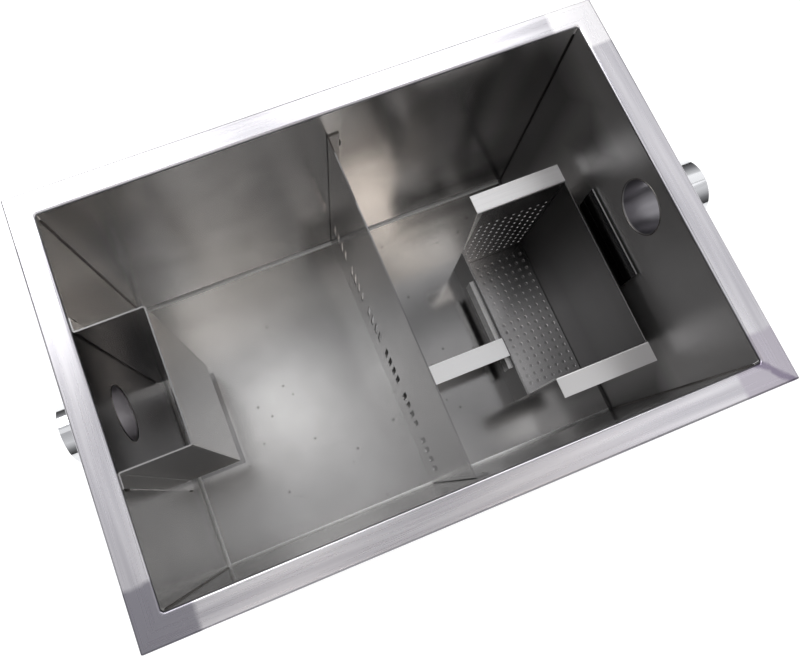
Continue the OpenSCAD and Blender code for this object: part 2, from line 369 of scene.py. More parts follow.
hood_inside = ((-half_inside.x - SKIN, -hood_half, floor_skin),
               (hood_front, hood_half, hood_high.z - HOOD_LIP))
under_basket = ((lip_x, basket_front, floor_skin), (basket_high.x, basket_back, floor_film))
# Painted shade darkens the inlet end, the front wall, the back wall low on the right and beside the baffle,
# the outlet end's back part, the inlet end near and behind the basket and round a mirrored tab, and the
# hood's inside. Painted light lifts the front wall's right part and the back wall high up. Under the basket
# the floor takes one even tone. The strips behind the baffle are painted shade, darkest in the middle, and
# painted light towards the back.
TANK_SHADES = [
    (*on_inlet_end(-FAR, FAR, wall_foot, wall_head), "b6b5b5", SHARP),
    (*on_front(-FAR, FAR, wall_foot, wall_head), "a6a5a4", SHARP),
    (*on_front(20 * MM, FAR, wall_foot, wall_head), "dcdbda", SHARP),
    (*on_back(95 * MM, FAR, 110 * MM, FAR), "e0dfde", SIDE_FADE),
    (*on_back(-FAR, -170 * MM, 120 * MM, FAR), "e8e7e6", SIDE_FADE),
    (*on_back(100 * MM, FAR, wall_foot, 80 * MM), "6a6968", SIDE_FADE),
    (*on_back(-40 * MM, baffle_low.x + 20 * MM, -FAR, 120 * MM), "7a7978", NARROW_FADE),
    (*on_back(baffle_low.x, 80 * MM, 180 * MM, FAR), "9c9b9a", NARROW_FADE),
    (*on_outlet_end(80 * MM, FAR, -FAR, FAR), "a0a09f", END_FADE),
    (*on_inlet_end(-FAR, 60 * MM - half_inside.y, -FAR, 180 * MM), "6a6969", END_FADE),
    (*on_inlet_end(100 * MM, FAR, -FAR, 290 * MM), "747373", END_FADE),
    (*on_inlet_end(45 * MM, 125 * MM, 190 * MM, 275 * MM), "7e7d7d", SPOT_FADE),
    (*hood_inside, "9c9b9b", SHARP),
    (*under_basket, "bcbbbb", SHARP),
    behind_baffle(-180 * MM, -92 * MM, "8a8988"),
    behind_baffle(-110 * MM, -36 * MM, "7c7b7a"),
    behind_baffle(-50 * MM, 24 * MM, "504f4e"),
    behind_baffle(36 * MM, 210 * MM, "f0efee"),
]
print(len(TANK_SHADES), "shades on the tank's inside")

# %% [markdown]
# The parts of the shell are found by comparing a point's place with the tank's sizes: past the walls is rim
# or outside, low down beside a wall is the floor's bend, and so on.

# %% Parts of the shell
FLOOR_FILM = 0.5 * MM


def shell_parts(tree, place):
    """How far a point lies past the inside faces, and a 0 or 1 for each part of the shell."""
    x, y, z = add(tree, "ShaderNodeSeparateXYZ", {0: place}).outputs
    wide = add(tree, "ShaderNodeMath", {0: x}, operation="ABSOLUTE").outputs[0]
    deep = add(tree, "ShaderNodeMath", {0: y}, operation="ABSOLUTE").outputs[0]
    past_end = add(tree, "ShaderNodeMath", {0: wide, 1: half_inside.x}, operation="SUBTRACT").outputs[0]
    past_side = add(tree, "ShaderNodeMath", {0: deep, 1: half_inside.y}, operation="SUBTRACT").outputs[0]
    past = add(tree, "ShaderNodeMath", {0: past_end, 1: past_side}, operation="MAXIMUM").outputs[0]
    parts = {"x": x, "y": y, "past": past, "past_end": past_end, "past_side": past_side}
    for name, value, operation, limit in (
            ("end", past_end, "GREATER_THAN", past_side),
            ("right", x, "GREATER_THAN", 0.0),
            ("back", y, "GREATER_THAN", 0.0),
            ("outside", past, "GREATER_THAN", RIM_ZONE),
            ("top", z, "GREATER_THAN", rim_top - RIM_BEND),
            ("under_rim", z, "LESS_THAN", rim_top - RIM_EDGE),
            ("floor", z, "LESS_THAN", floor_top + FLOOR_FILM),
            ("low", z, "LESS_THAN", floor_top + BEND_HEIGHT),
            ("beside", past, "GREATER_THAN", -FLOOR_BEND),
            ("inlet_bend", x, "GREATER_THAN", half_inside.x - FLOOR_BEND),
            ("inlet_face", x, "GREATER_THAN", half_inside.x - SHARP_EDGE),
            ("inlet_chamber", x, "GREATER_THAN", baffle_high.x)):
        parts[name] = add(tree, "ShaderNodeMath", {0: value, 1: limit}, operation=operation).outputs[0]
    for name, first, operation, second in (
            ("outer_wall", "outside", "MULTIPLY", "under_rim"),
            ("rim_side", "outside", "SUBTRACT", "outer_wall"),
            ("rim", "rim_side", "MAXIMUM", "top"),
            ("bend", "low", "MULTIPLY", "beside")):
        parts[name] = add(tree, "ShaderNodeMath", {0: parts[first], 1: parts[second]},
                          operation=operation).outputs[0]
    return parts


# %% [markdown]
# Brushing leaves grain along each side of the rim, and lighter and darker bands. Both are noises that
# are drawn out along the side. Real grain is about 0.05 mm wide, which is finer than a pixel, so it is drawn
# near 1.5 mm to show. At the corners the grinder wandered a little, and it left a darker smear on one mitre.

# %% Brushed grain and ground corners of the rim
GRAIN_LENGTH = 111.11 * MM
GRAIN_WIDTH = 1.4286 * MM
BAND_LENGTH = 200 * MM
BAND_WIDTH = 9.091 * MM
CORNER_REACH = 26 * MM
CORNER_WANDER = 6 * MM
CORNER_EDGE = (1 * MM, 5 * MM)
SMEAR_PLACE = 12 * MM
SMEAR_WANDER = 14 * MM
SMEAR_EDGE = (2 * MM, 6 * MM)


def brushed_grain(tree, parts):
    """Fine grain and broad bands that run along each side of the rim."""
    along = add(tree, "ShaderNodeMix", {0: parts["end"], 2: parts["x"], 3: parts["y"]}).outputs[0]
    place = add(tree, "ShaderNodeCombineXYZ", {"X": along, "Y": parts["past"]}).outputs[0]
    stretched = add(tree, "ShaderNodeMapping",
                    {0: place, "Scale": per_metre(GRAIN_LENGTH, GRAIN_WIDTH, FAR)}).outputs[0]
    grain = add(tree, "ShaderNodeTexNoise", {"Vector": stretched, "Scale": 1.0, "Detail": 3.0}).outputs["Fac"]
    stretched = add(tree, "ShaderNodeMapping",
                    {0: place, "Scale": per_metre(BAND_LENGTH, BAND_WIDTH, FAR)}).outputs[0]
    band = add(tree, "ShaderNodeTexNoise", {"Vector": stretched, "Scale": 1.0, "Detail": 1.0}).outputs["Fac"]
    band = add(tree, "ShaderNodeMapRange", {"Value": band, "From Min": 0.35, "From Max": 0.65}).outputs[0]
    return grain, band


def ground_corner(tree, parts, mottle):
    """Where the rim's corners were ground, and the colour of each corner, painted lighter at the back and
    darker at the front left as painted light.
    """
    reach = add(tree, "ShaderNodeMath", {0: parts["past_end"], 1: parts["past_side"]},
                operation="MINIMUM").outputs[0]
    reach = add(tree, "ShaderNodeMath", {0: mottle, 1: CORNER_WANDER, 2: reach},
                operation="MULTIPLY_ADD").outputs[0]
    corner = add(tree, "ShaderNodeMapRange", {"Value": reach, "From Min": CORNER_EDGE[0] - CORNER_REACH,
                                              "From Max": CORNER_EDGE[1] - CORNER_REACH}).outputs[0]
    mitre = add(tree, "ShaderNodeMath", {0: parts["past_side"], 1: parts["past_end"]},
                operation="SUBTRACT").outputs[0]
    mitre = add(tree, "ShaderNodeMath", {0: mottle, 1: SMEAR_WANDER, 2: mitre},
                operation="MULTIPLY_ADD").outputs[0]
    away = add(tree, "ShaderNodeMath", {0: mitre, 1: SMEAR_PLACE}, operation="SUBTRACT").outputs[0]
    away = add(tree, "ShaderNodeMath", {0: away}, operation="ABSOLUTE").outputs[0]
    smear = add(tree, "ShaderNodeMapRange", {"Value": away, "From Min": SMEAR_EDGE[0],
                                             "From Max": SMEAR_EDGE[1], "To Min": 1.0,
                                             "To Max": 0.0}).outputs[0]
    # The corners' tones hold painted light: the back corners are painted lighter and the front left darker
    # than the rim.
    smeared = add(tree, "ShaderNodeMix", {0: smear, 6: linear("b8b3bc"), 7: linear("8d8596")},
                  data_type="RGBA").outputs[2]
    front = add(tree, "ShaderNodeMix", {0: parts["right"], 6: linear("95939b"), 7: smeared},
                data_type="RGBA").outputs[2]
    back = add(tree, "ShaderNodeMix", {0: parts["right"], 6: linear("e4e3e6"), 7: linear("f4f2f4")},
               data_type="RGBA").outputs[2]
    ground = add(tree, "ShaderNodeMix", {0: parts["back"], 6: front, 7: back}, data_type="RGBA").outputs[2]
    return corner, ground


# %% [markdown]
# Rolled sheet has slow clouds in its tone and its gloss. The tank's floor also carries a few specks: points
# of a cell pattern, of which only some are kept.

# %% Clouds and specks of the sheet
CLOUD = 62.5 * MM
SATIN_ROUGHNESS = (0.18, 0.22)
SPECK_SPACING = 16.667 * MM
SPECK_SIZE = 0.075
SPECKS_LEFT_OUT = 0.6


def clouds(tree, place):
    """The sheet's tone from 0 to 1, and the satin roughness that goes with it."""
    cloud = add(tree, "ShaderNodeTexNoise",
                {"Vector": place, "Scale": 1 / CLOUD, "Detail": 4.0}).outputs["Fac"]
    tone = add(tree, "ShaderNodeMapRange", {"Value": cloud, "From Min": 0.3, "From Max": 0.7}).outputs[0]
    satin = add(tree, "ShaderNodeMapRange", {"Value": cloud, "From Min": 0.3, "From Max": 0.7,
                                             "To Min": SATIN_ROUGHNESS[0],
                                             "To Max": SATIN_ROUGHNESS[1]}).outputs[0]
    return tone, satin


def specks(tree, place, on_floor):
    """1 on the specks of the floor."""
    cells = add(tree, "ShaderNodeTexVoronoi", {"Vector": place, "Scale": 1 / SPECK_SPACING}).outputs
    near = add(tree, "ShaderNodeMapRange", {"Value": cells["Distance"], "From Min": SPECK_SIZE,
                                            "From Max": 2 * SPECK_SIZE, "To Min": 1.0,
                                            "To Max": 0.0}).outputs[0]
    some = add(tree, "ShaderNodeMath", {0: cells["Color"], 1: SPECKS_LEFT_OUT},
               operation="GREATER_THAN").outputs[0]
    speck = add(tree, "ShaderNodeMath", {0: near, 1: some}, operation="MULTIPLY").outputs[0]
    return add(tree, "ShaderNodeMath", {0: speck, 1: on_floor}, operation="MULTIPLY").outputs[0]


# %% [markdown]
# The finish then goes on in layers: the sheet with its painted shade and light, the bend at the floor, the
# duller outside, and last the brushed rim with its ground corners. The bend is painted nearly white as a
# painted highlight along the floor's edge, and dark at the inlet end as painted shade. Roughness follows the
# same parts: the floor is glossier on the inlet side, and the bend at its edge is dull.

# %% Satin stainless for the tank
MOTTLE = 14.286 * MM
OUTLET_FLOOR_ROUGHNESS = 0.26
INLET_FLOOR_ROUGHNESS = 0.15
INLET_END_ROUGHNESS = 0.42
BEND_ROUGHNESS = 0.65
OUTSIDE_ROUGHNESS = 0.34
BRUSHED_ROUGHNESS = (0.24, 0.34)
RIM_BUMP = 0.04
RIM_BUMP_DEPTH = 0.4 * MM


def tank_colour(tree, place, parts, tone, grain, band):
    """The shell's colour: sheet, bend, outside and rim."""
    mottle = add(tree, "ShaderNodeTexNoise",
                 {"Vector": place, "Scale": 1 / MOTTLE, "Detail": 3.0}).outputs["Fac"]
    corner, ground = ground_corner(tree, parts, mottle)
    colour = add(tree, "ShaderNodeMix", {0: tone, 6: linear("bab9b8"), 7: linear("c4c3c2")},
                 data_type="RGBA").outputs[2]
    speck = specks(tree, place, parts["floor"])
    colour = add(tree, "ShaderNodeMix", {0: speck, 6: colour, 7: linear("9c9b99")},
                 data_type="RGBA").outputs[2]
    colour = shade(tree, place, colour, TANK_SHADES)
    # Painted highlight along the floor's bend, and painted shade where it meets the inlet end.
    bend = add(tree, "ShaderNodeMix", {0: parts["inlet_bend"], 6: linear("f8f8f7"), 7: linear("6c6b6b")},
               data_type="RGBA").outputs[2]
    outside = add(tree, "ShaderNodeMix", {0: tone, 6: linear("989796"), 7: linear("a3a2a1")},
                  data_type="RGBA").outputs[2]
    dark = add(tree, "ShaderNodeMix", {0: grain, 6: linear("b7b5bb"), 7: linear("c7c5ca")},
               data_type="RGBA").outputs[2]
    light = add(tree, "ShaderNodeMix", {0: grain, 6: linear("d0ced3"), 7: linear("e0dee1")},
                data_type="RGBA").outputs[2]
    rim = add(tree, "ShaderNodeMix", {0: band, 6: dark, 7: light}, data_type="RGBA").outputs[2]
    rim = add(tree, "ShaderNodeMix", {0: corner, 6: rim, 7: ground}, data_type="RGBA").outputs[2]
    for part, layer in (("bend", bend), ("outer_wall", outside), ("rim", rim)):
        colour = add(tree, "ShaderNodeMix", {0: parts[part], 6: colour, 7: layer},
                     data_type="RGBA").outputs[2]
    return colour


def tank_roughness(tree, parts, satin, grain):
    """The shell's roughness: satin sheet, floor, inlet end, bend, outside and rim."""
    floor_rough = add(tree, "ShaderNodeMix", {0: parts["inlet_chamber"], 2: OUTLET_FLOOR_ROUGHNESS,
                                              3: INLET_FLOOR_ROUGHNESS}).outputs[0]
    brushed = add(tree, "ShaderNodeMapRange", {"Value": grain, "From Min": 0.25, "From Max": 0.75,
                                               "To Min": BRUSHED_ROUGHNESS[0],
                                               "To Max": BRUSHED_ROUGHNESS[1]}).outputs[0]
    rough = satin
    for part, layer in (("floor", floor_rough), ("inlet_face", INLET_END_ROUGHNESS), ("bend", BEND_ROUGHNESS),
                        ("outer_wall", OUTSIDE_ROUGHNESS), ("rim", brushed)):
        rough = add(tree, "ShaderNodeMix", {0: parts[part], 2: rough, 3: layer}).outputs[0]
    return rough


satin_rim, tree = new_material("satin_stainless_brushed_rim")
place = add(tree, "ShaderNodeTexCoord").outputs["Object"]
parts = shell_parts(tree, place)
grain, band = brushed_grain(tree, parts)
tone, satin = clouds(tree, place)
colour = tank_colour(tree, place, parts, tone, grain, band)
rough = tank_roughness(tree, parts, satin, grain)
relief = add(tree, "ShaderNodeMath", {0: grain, 1: parts["rim"]}, operation="MULTIPLY").outputs[0]
bump = add(tree, "ShaderNodeBump", {"Height": relief, "Strength": RIM_BUMP,
                                    "Distance": RIM_BUMP_DEPTH}).outputs[0]
steel = add(tree, "ShaderNodeBsdfPrincipled",
            {"Base Color": colour, "Metallic": 1.0, "Roughness": rough, "Normal": bump})
add(tree, "ShaderNodeOutputMaterial", {"Surface": steel.outputs[0]})
print("made", satin_rim.name, "with", len(tree.nodes), "nodes")

# %% [markdown]
# ## Mill sheet
# The baffle, the hood and the rail are cut from satin sheet and left as the mill rolled it, so they share one
# function. Their tones are painted light and shade: each cut top edge has a painted highlight or painted
# shade, the hood is painted pale, the rail dark, and the baffle dark, darker still towards the back wall on
# its outlet face as painted shade. The hood's near side is painted darker and is rougher, which blurs what it
# mirrors.

# %% Mill sheet for baffle, hood and rail
CUT_EDGE = 0.4 * MM
SCUFFED_ROUGHNESS = 0.55


def top_edge(high, hex_colour, front=-FAR):
    """A painted highlight or painted shade on a sheet's cut top edge, from some place towards the back."""
    return (-FAR, front, high.z - CUT_EDGE), (FAR, FAR, FAR), hex_colour, SHARP


def mill_steel(name, dark, light, shades, scuffed=None):
    """Cold-rolled sheet with slow clouds, painted shade and light laid over it by zone, and rougher in a
    scuffed zone.
    """
    material, tree = new_material(name)
    place = add(tree, "ShaderNodeTexCoord").outputs["Object"]
    tone, rough = clouds(tree, place)
    colour = add(tree, "ShaderNodeMix", {0: tone, 6: linear(dark), 7: linear(light)},
                 data_type="RGBA").outputs[2]
    colour = shade(tree, place, colour, shades)
    if scuffed:
        inside = zone(tree, place, *scuffed)
        rough = add(tree, "ShaderNodeMix", {0: inside, 2: rough, 3: SCUFFED_ROUGHNESS}).outputs[0]
    steel = add(tree, "ShaderNodeBsdfPrincipled", {"Base Color": colour, "Metallic": 1.0, "Roughness": rough})
    add(tree, "ShaderNodeOutputMaterial", {"Surface": steel.outputs[0]})
    return material


# The baffle is painted dark as shade, darker towards the back wall on its outlet face and lighter towards the
# front. Its top edge has a painted highlight near the front and painted shade towards the back.
baffle_face = baffle_low.x + sheet / 2
baffle_back_end = ((-FAR, -30 * MM, -FAR), (baffle_face, FAR, FAR), "383737",
                   (SHARP_EDGE, 190 * MM, 1 * MM))
baffle_front_end = ((-FAR, -FAR, -FAR), (FAR, -60 * MM, FAR), "b4b3b3", (1 * MM, 80 * MM, 1 * MM))
baffle_sheet = mill_steel("mill_rolled_baffle_painted_shade", "828181", "8b8a8a",
                          [baffle_back_end, baffle_front_end, top_edge(baffle_high, "989797"),
                           top_edge(baffle_high, "5c5b5b", 105 * MM)])
# The hood is painted pale as painted light, lighter still on its far side. Its near side and its inside are
# painted darker as shade, and its top edge darker too.
hood_far_side = ((-FAR, hood_half, -FAR), (hood_front, hood_half + sheet, FAR))
hood_near_side = ((-FAR, -hood_half - sheet, -FAR), (hood_front, -hood_half, FAR))
hood_sheet = mill_steel("mill_rolled_hood_painted_light_and_shade", "eeedec", "f5f4f3",
                        [(*hood_near_side, "aaa9a9", SHARP), (*hood_far_side, "f2f1f0", SHARP),
                         (*hood_inside, "9c9b9b", SHARP), top_edge(hood_high, "989797")], hood_near_side)
# The rail is painted dark as shade, with a painted highlight on its top edge.
rail_sheet = mill_steel("mill_rolled_rail_painted_shade", "5c5c5c", "666666", [top_edge(rail_high, "9c9b9b")])
print("made", baffle_sheet.name, hood_sheet.name, rail_sheet.name)

# %% [markdown]
# ## Dull basket with brushed tabs
# The basket is a duller sheet. Its tabs and its strap were brushed bright, so the material is a mix of two
# finishes by zone. The hook has a thin bright band below its top as a painted highlight of its ledge, and the
# rest of it is painted dark as shade. The basket's shades are painted shade and painted light, guesses like
# those of the tank: the darker far corner is a painted shadow.

# %% Zones of the basket
TAB_THICK = 2 * MM
HIGH_WALL_THICK = 2.2 * MM
WALL_THICK = 2 * MM
MID_SHEET = 0.7 * MM
HOOK_STEP = 6 * MM
LEDGE_HALF = 0.6 * MM
tab_zone = basket_high.z - TAB_THICK
strap_low = hook_high.z + 1 * MM
ledge_z = hook_high.z - HOOK_STEP
high_wall_x = basket_high.x - HIGH_WALL_THICK

tabs = ((-FAR, -FAR, tab_zone), (FAR, FAR, FAR))
strap = ((-FAR, -FAR, strap_low), (lip_x - INNER_SKIN, FAR, tab_zone))
hook_ledge = ((-FAR, -FAR, ledge_z - LEDGE_HALF), (FAR, FAR, ledge_z + LEDGE_HALF))
near_tab = ((-FAR, -FAR, tab_zone), (FAR, basket_front + 1 * MM, FAR))
strap_end = ((-FAR, -FAR, -FAR), (baffle_low.x + 8 * MM, FAR, FAR))
basket_floor = ((lip_x, basket_front, -FAR), (basket_high.x, basket_back, basket_low.z + WALL_THICK))
high_wall = ((high_wall_x, basket_front, 3 * MM), (FAR, basket_back, tab_zone))
high_wall_foot = ((high_wall_x, basket_front, -FAR), (FAR, basket_back, 150 * MM))
far_wall = ((lip_x, basket_back - WALL_THICK, 2 * MM), (basket_high.x, basket_back - MID_SHEET, tab_zone))
near_wall = ((lip_x, basket_front - INNER_SKIN, 2 * MM),
             (basket_high.x, basket_front + WALL_THICK, tab_zone))
far_corner = ((basket_high.x - 85 * MM, basket_back - 110 * MM, -FAR), (FAR, FAR, FAR))
lip_outside = ((lip_x - INNER_SKIN, basket_front, 0), (lip_x + SKIN, basket_back, strap_low))
far_outside = ((lip_x, basket_back - MID_SHEET, 0), (basket_high.x, basket_back + INNER_SKIN, tab_zone))

FOOT_FADE = (SHARP_EDGE, SHARP_EDGE, 90 * MM)
CORNER_FADE = (80 * MM, 80 * MM, 80 * MM)
# Painted light on the basket's floor and far outside. Painted shade on its high wall, darker towards the high
# wall's foot, on its near wall and on the lip's outside, and a painted shadow that fades into the far corner.
# The far wall takes one even tone.
BASKET_SHADES = [
    (*basket_floor, "d8d7d7", SHARP),
    (*high_wall, "8c8b8b", SHARP),
    (*high_wall_foot, "666565", FOOT_FADE),
    (*far_wall, "a4a3a3", SHARP),
    (*near_wall, "6f6e6e", SHARP),
    (*far_corner, "5c5b5b", CORNER_FADE),
    (*lip_outside, "747373", SHARP),
    (*far_outside, "eeeded", SHARP),
]
# On the brushed parts the near tab is painted darker and the strap lighter, and the strap's end is painted
# dark as shade seen through the baffle's slots.
BRUSHED_SHADES = [(*near_tab, "d0cfcf", SHARP), (*strap, "fafafa", SHARP), (*strap_end, "3a3939", SHARP)]
# The hook is painted dark all over as shade, under its painted highlight.
HOOK_SHADES = [(*EVERYWHERE, "6c6b6b", SHARP)]
print(len(BASKET_SHADES), "dull and", len(BRUSHED_SHADES), "brushed shades on the basket")

# %% Dull sheet with brushed tabs for the basket
BASKET_GRAIN_WIDTH = 2.381 * MM
BASKET_CLOUD = 33.333 * MM
DULL_ROUGHNESS = 0.24
WORN_ROUGHNESS = 0.45
TAB_ROUGHNESS = 0.32
TAB_BUMP = 0.03
TAB_BUMP_DEPTH = 0.3 * MM


def basket_steel(name, bright_zones, shades, brushed_shades=()):
    """Dull sheet that is bright in some zones: brushed on the basket, a painted highlight on the hook. Each
    kind takes its own painted shade and light.
    """
    material, tree = new_material(name)
    place = add(tree, "ShaderNodeTexCoord").outputs["Object"]
    bright = zone(tree, place, *bright_zones[0])
    for low, high in bright_zones[1:]:
        other = zone(tree, place, low, high)
        bright = add(tree, "ShaderNodeMath", {0: bright, 1: other}, operation="MAXIMUM").outputs[0]
    stretch = per_metre(GRAIN_LENGTH, BASKET_GRAIN_WIDTH, BASKET_GRAIN_WIDTH)
    stretched = add(tree, "ShaderNodeMapping", {0: place, "Scale": stretch}).outputs[0]
    grain = add(tree, "ShaderNodeTexNoise", {"Vector": stretched, "Scale": 1.0, "Detail": 3.0}).outputs["Fac"]
    cloud = add(tree, "ShaderNodeTexNoise",
                {"Vector": place, "Scale": 1 / BASKET_CLOUD, "Detail": 4.0}).outputs["Fac"]
    dull = add(tree, "ShaderNodeMix", {0: cloud, 6: linear("a09f9f"), 7: linear("acabab")},
               data_type="RGBA").outputs[2]
    dull = shade(tree, place, dull, shades)
    shiny = add(tree, "ShaderNodeMix", {0: grain, 6: linear("d4d3d3"), 7: linear("e6e5e5")},
                data_type="RGBA").outputs[2]
    shiny = shade(tree, place, shiny, brushed_shades)
    colour = add(tree, "ShaderNodeMix", {0: bright, 6: dull, 7: shiny}, data_type="RGBA").outputs[2]
    worn_wall = zone(tree, place, *high_wall)
    worn_lip = zone(tree, place, *lip_outside)
    worn = add(tree, "ShaderNodeMath", {0: worn_wall, 1: worn_lip}, operation="MAXIMUM").outputs[0]
    rough = add(tree, "ShaderNodeMix", {0: worn, 2: DULL_ROUGHNESS, 3: WORN_ROUGHNESS}).outputs[0]
    rough = add(tree, "ShaderNodeMix", {0: bright, 2: rough, 3: TAB_ROUGHNESS}).outputs[0]
    relief = add(tree, "ShaderNodeMath", {0: grain, 1: bright}, operation="MULTIPLY").outputs[0]
    bump = add(tree, "ShaderNodeBump", {"Height": relief, "Strength": TAB_BUMP,
                                        "Distance": TAB_BUMP_DEPTH}).outputs[0]
    steel = add(tree, "ShaderNodeBsdfPrincipled",
                {"Base Color": colour, "Metallic": 1.0, "Roughness": rough, "Normal": bump})
    add(tree, "ShaderNodeOutputMaterial", {"Surface": steel.outputs[0]})
    return material


basket_sheet = basket_steel("dull_stainless_brushed_tabs", [tabs, strap], BASKET_SHADES, BRUSHED_SHADES)
hook_sheet = basket_steel("stainless_hook_painted_highlight_and_shade", [hook_ledge], HOOK_SHADES)
print("made", basket_sheet.name, hook_sheet.name)

# %% [markdown]
# ## Bright tube
# The stubs are drawn tube: polished outside, with faint streaks along the draw, and dull inside the bore. The
# distance from the stub's axis tells the two apart. The inlet's bore is painted darker than the outlet's, as
# painted shade.

# %% Bright tube for the stubs
TUBE_WALL = 1.5 * MM
WELD_LEG = 3 * MM
BORE_SKIN = 0.3 * MM
STREAK_LENGTH = 200 * MM
STREAK_WIDTH = 6.25 * MM
POLISHED_ROUGHNESS = 0.10
BORE_ROUGHNESS = 0.28


def axis_and_bore(name):
    """Height of a stub's axis and its bore, from its box; the weld fillet is its widest part."""
    low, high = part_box(name)
    return (low.z + high.z) / 2, high.z - low.z - 2 * (WELD_LEG + TUBE_WALL)


def tube_steel(name, centre_z, bore, bore_colour):
    """Drawn tube: polished outside, dull grey inside the bore, in a painted shade given for each stub."""
    material, tree = new_material(name)
    place = add(tree, "ShaderNodeTexCoord").outputs["Object"]
    offset = add(tree, "ShaderNodeVectorMath", {0: place, 1: (0, 0, centre_z)},
                 operation="SUBTRACT").outputs[0]
    across = add(tree, "ShaderNodeVectorMath", {0: offset, 1: (0, 1, 1)}, operation="MULTIPLY").outputs[0]
    radius = add(tree, "ShaderNodeVectorMath", {0: across}, operation="LENGTH").outputs["Value"]
    inside = add(tree, "ShaderNodeMath", {0: radius, 1: bore / 2 + BORE_SKIN},
                 operation="LESS_THAN").outputs[0]
    stretch = per_metre(STREAK_LENGTH, STREAK_WIDTH, STREAK_WIDTH)
    stretched = add(tree, "ShaderNodeMapping", {0: place, "Scale": stretch}).outputs[0]
    streak = add(tree, "ShaderNodeTexNoise",
                 {"Vector": stretched, "Scale": 1.0, "Detail": 3.0}).outputs["Fac"]
    shiny = add(tree, "ShaderNodeMix", {0: streak, 6: linear("d8d9dc"), 7: linear("e6e7e8")},
                data_type="RGBA").outputs[2]
    colour = add(tree, "ShaderNodeMix", {0: inside, 6: shiny, 7: linear(bore_colour)},
                 data_type="RGBA").outputs[2]
    rough = add(tree, "ShaderNodeMix", {0: inside, 2: POLISHED_ROUGHNESS, 3: BORE_ROUGHNESS}).outputs[0]
    steel = add(tree, "ShaderNodeBsdfPrincipled", {"Base Color": colour, "Metallic": 1.0, "Roughness": rough})
    add(tree, "ShaderNodeOutputMaterial", {"Surface": steel.outputs[0]})
    return material


inlet_z, tube_bore = axis_and_bore("inlet_pipe")
outlet_z, tube_bore = axis_and_bore("outlet_pipe")
print(f"stub axes at {inlet_z:.3f} and {outlet_z:.3f} m, bore {tube_bore / MM:.1f} mm")

# %% [markdown]
# Each CAD node gets its finish. The meshes stay as the CAD program made them.

# %% Give each node its finish
FINISHES = {
    "tank_shell": satin_rim,
    # The inlet's bore is painted darker than the outlet's, as painted shade.
    "inlet_pipe": tube_steel("bright_tube_inlet", inlet_z, tube_bore, "8a888c"),
    "outlet_pipe": tube_steel("bright_tube_outlet", outlet_z, tube_bore, "c6c4c6"),
    "slotted_baffle": baffle_sheet,
    "outlet_hood": hood_sheet,
    "inlet_rail": rail_sheet,
    "strainer_basket": basket_sheet,
    "basket_hook": hook_sheet,
}
for name, finish in FINISHES.items():
    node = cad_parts[name]
    node.data.materials.clear()
    node.data.materials.append(finish)
print("finished", len(FINISHES), "nodes")

# %% [markdown]
# ## Weld seams
# The tank is folded from a cross-shaped blank, so its four upright corners are welded all the way. Baffle,
# hood and rail are only tacked, with short beads along their free edges. A bead is a small fillet with the
# ripples of the weld pool. It could be a bevelled curve, but a grid that is bent into a quarter round lets
# each ripple and each valley have its own rows of points.

# %% Function for one bead
BEAD_ACROSS = 6
RIPPLE = 2.4 * MM
RIPPLE_SHARE = 0.16
ROWS_PER_RIPPLE = 4
FEWEST_ROWS = 8
TAPER_LEGS = 8
TIP_SHARE = 0.05


def add_bead(shape, start, end, first, second, leg):
    """Add a rippled fillet from start to end; first and second point from it along the two sheets."""
    start, end, first, second = Vector(start), Vector(end), Vector(first), Vector(second)
    length = (end - start).length
    rows = max(FEWEST_ROWS, round(length / RIPPLE * ROWS_PER_RIPPLE))
    grid = bmesh.ops.create_grid(shape, x_segments=BEAD_ACROSS, y_segments=rows, size=0.5)["verts"]
    for vert in grid:
        turn = (vert.co.x + 0.5) * math.pi / 2
        way = vert.co.y + 0.5
        ripple = 1 + RIPPLE_SHARE * abs(math.sin(math.pi * way * length / RIPPLE))
        fullness = 1 - abs(2 * way - 1) ** (2 * length / (TAPER_LEGS * leg))
        round_out = leg * ripple * max(TIP_SHARE, fullness) ** 0.5
        vert.co = start.lerp(end, way) + round_out * (math.cos(turn) * first + math.sin(turn) * second)


# %% Lay the beads
CORNER_LEG = 1.4 * MM
CORNER_FOOT = 2 * MM
CORNER_HEAD = 9 * MM
TACK_LEG = 1.8 * MM
TACK_LENGTH = 13 * MM
BAFFLE_TACKS = (0.05, 0.35, 0.65, 0.95)
HOOD_TACKS = (0.02, 0.98)
RAIL_TACK_LENGTH = 0.8 * TACK_LENGTH
RAIL_TACK_FOOT = 1 * MM

shape = bmesh.new()
for side_x in (-1, 1):
    for side_y in (-1, 1):
        foot = Vector((side_x * half_inside.x, side_y * half_inside.y, floor_top + CORNER_FOOT))
        head = Vector((foot.x, foot.y, rim_top - CORNER_HEAD))
        add_bead(shape, foot, head, (-side_x, 0, 0), (0, -side_y, 0), CORNER_LEG)
corner_faces = len(shape.faces)

tack = Vector((0, 0, TACK_LENGTH))
rail_tack = Vector((0, 0, RAIL_TACK_LENGTH))
for side in (-1, 1):
    for up in BAFFLE_TACKS:
        z = baffle_low.z + up * (baffle_high.z - baffle_low.z - TACK_LENGTH)
        foot = Vector((baffle_high.x, side * half_inside.y, z))
        add_bead(shape, foot, foot + tack, (1, 0, 0), (0, -side, 0), TACK_LEG)
    for up in HOOD_TACKS:
        z = hood_low.z + up * (hood_high.z - hood_low.z - TACK_LENGTH)
        foot = Vector((-half_inside.x, hood_high.y if side > 0 else hood_low.y, z))
        add_bead(shape, foot, foot + tack, (0, side, 0), (1, 0, 0), TACK_LEG)
    foot = Vector((half_inside.x, rail_high.y if side > 0 else rail_low.y, rail_low.z + RAIL_TACK_FOOT))
    add_bead(shape, foot, foot + rail_tack, (0, side, 0), (-1, 0, 0), TACK_LEG)
print(f"{corner_faces} faces in the corner seams, {len(shape.faces) - corner_faces} in the tacks")

